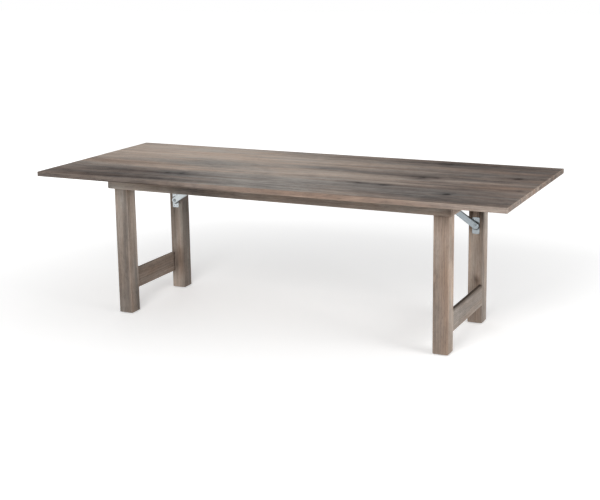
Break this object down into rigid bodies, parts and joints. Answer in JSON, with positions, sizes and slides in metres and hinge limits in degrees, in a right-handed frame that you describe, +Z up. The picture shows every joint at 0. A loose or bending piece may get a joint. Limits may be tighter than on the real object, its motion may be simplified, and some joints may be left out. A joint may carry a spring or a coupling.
{
  "type": "folding trestle table",
  "caption": "Long farm table of weathered boards on a rail frame, with two leg frames that fold flat under the top, each held open by a locking steel strut.",
  "frame": {"origin": "on the floor, under the middle of the top", "axes": "+X along the table's length, +Y across it to the rear, +Z up"},
  "size_m": [2.438, 1.016, 0.762],
  "materials": {
    "weathered_boards": "grey-washed, satin",
    "weathered_frame": "grey-washed, satin",
    "dowel_wood": "plain beech",
    "zinc_plate": "bright zinc",
    "zinc_fasteners": "zinc",
    "spring_steel": "tempered",
    "insert_brass": "plain",
    "bush_nylon": "moulded",
    "glide_plastic": "moulded"
  },
  "bodies": {
    "table_frame": {"top_board_1": "weathered_boards", "top_board_2": "weathered_boards", "top_board_3": "weathered_boards", "top_board_4": "weathered_boards", "top_board_5": "weathered_boards", "top_board_6": "weathered_boards", "top_board_7": "weathered_boards", "front_rail": "weathered_frame", "rear_rail": "weathered_frame", "left_end_rail": "weathered_frame", "right_end_rail": "weathered_frame", "centre_cross_rail": "weathered_frame", "rail_screws": "zinc_fasteners", "bracket_screws": "zinc_fasteners", "frame_dowels": "dowel_wood", "catch_rivets": "zinc_plate", "pivot_bolts": "zinc_fasteners", "pivot_inserts": "insert_brass", "spacer_washers": "zinc_fasteners", "left_front_pivot_bracket": "zinc_plate", "left_rear_pivot_bracket": "zinc_plate", "right_front_pivot_bracket": "zinc_plate", "right_rear_pivot_bracket": "zinc_plate", "left_strut_keeper": "zinc_plate", "left_spring_catch": "spring_steel", "right_strut_keeper": "zinc_plate", "right_spring_catch": "spring_steel"},
    "left_leg_frame": {"left_front_leg": "weathered_frame", "left_rear_leg": "weathered_frame", "left_stretcher": "weathered_frame", "left_stretcher_dowels": "dowel_wood", "left_pivot_bushes": "bush_nylon", "left_leg_plate": "zinc_plate", "left_plate_screws": "zinc_fasteners", "left_strut_rivet": "zinc_plate", "left_glides": "glide_plastic"},
    "right_leg_frame": {"right_front_leg": "weathered_frame", "right_rear_leg": "weathered_frame", "right_stretcher": "weathered_frame", "right_stretcher_dowels": "dowel_wood", "right_pivot_bushes": "bush_nylon", "right_leg_plate": "zinc_plate", "right_plate_screws": "zinc_fasteners", "right_strut_rivet": "zinc_plate", "right_glides": "glide_plastic"},
    "left_brace": {"left_strut": "zinc_plate", "left_lock_pin": "zinc_plate"},
    "right_brace": {"right_strut": "zinc_plate", "right_lock_pin": "zinc_plate"}
  },
  "joints": [
    {"name": "left_leg_fold", "type": "hinge", "parent": "table_frame", "child": "left_leg_frame", "pos_m": [-0.842, 0, 0.708], "axis": [0, -1, 0], "range_deg": [0, 90], "deforming": ["left_spring_catch"]},
    {"name": "left_strut_fold", "type": "hinge", "parent": "left_leg_frame", "child": "left_brace", "pos_m": [-0.8595, 0.218, 0.502], "axis": [0, 1, 0], "range_deg": [0, 124.01]},
    {"name": "right_leg_fold", "type": "hinge", "parent": "table_frame", "child": "right_leg_frame", "pos_m": [0.842, 0, 0.708], "axis": [0, 1, 0], "range_deg": [0, 90], "deforming": ["right_spring_catch"]},
    {"name": "right_strut_fold", "type": "hinge", "parent": "right_leg_frame", "child": "right_brace", "pos_m": [0.8595, 0.218, 0.502], "axis": [0, -1, 0], "range_deg": [0, 124.01]}
  ],
  "couplings": [
    {"joint": "left_strut_fold", "follows": "left_leg_fold", "ratio": 1.3778},
    {"joint": "right_strut_fold", "follows": "right_leg_fold", "ratio": 1.3778}
  ]
}
